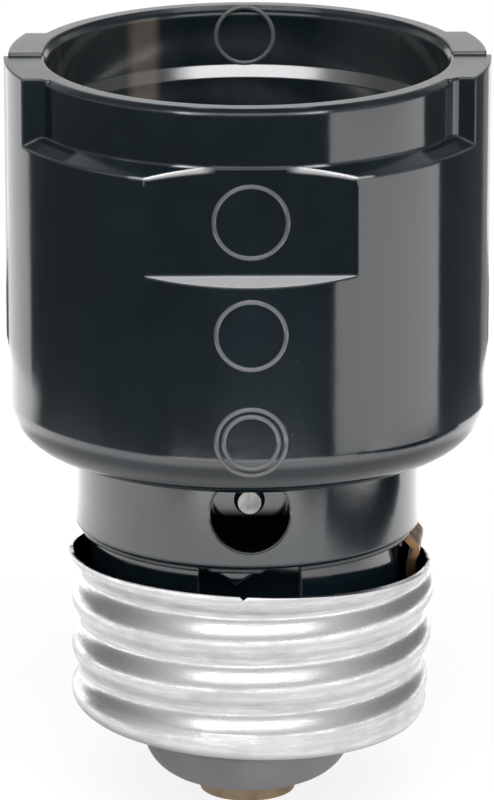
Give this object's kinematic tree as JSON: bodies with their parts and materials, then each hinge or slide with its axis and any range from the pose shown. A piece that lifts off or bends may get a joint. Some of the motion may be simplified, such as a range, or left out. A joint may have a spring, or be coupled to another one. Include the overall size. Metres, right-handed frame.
{
  "type": "lamp socket adapter",
  "caption": "Black phenolic lamp socket extender: a socket for a medium screw-base lamp above a rolled aluminium screw base of the same size, with a brass tip contact.",
  "frame": {"origin": "centre of the tip contact's bottom face, on the axis of the body", "axes": "+Z along the axis, from the tip contact up to the mouth; the front, with the round neck pocket, faces -Y; +X is the picture's right, where the shell strap is"},
  "size_m": [0.0344, 0.0344, 0.0551],
  "materials": {
    "phenolic": "moulded, glossy black",
    "shell_metal": "bright, rolled",
    "contact_metal": "satin",
    "strap_metal": "dull, as stamped",
    "rivet_metal": "plated, satin",
    "screw_metal": "plated"
  },
  "bodies": {
    "adapter": {"body": "phenolic", "male_screw_shell": "shell_metal", "female_screw_shell": "shell_metal", "shell_strap": "strap_metal", "strap_rivet": "strap_metal", "neck_rivet": "rivet_metal", "centre_rivet": "contact_metal", "contact_strap": "strap_metal", "shell_screws": "screw_metal"},
    "leaf": {"contact_leaf": "contact_metal"}
  },
  "joints": [
    {"name": "contact_flex", "type": "hinge", "parent": "adapter", "child": "leaf", "pos_m": [0, -0.005, 0.02475], "axis": [1, 0, 0], "range_deg": [-12, 0], "stiffness_Nm_per_rad": 0.1}
  ]
}
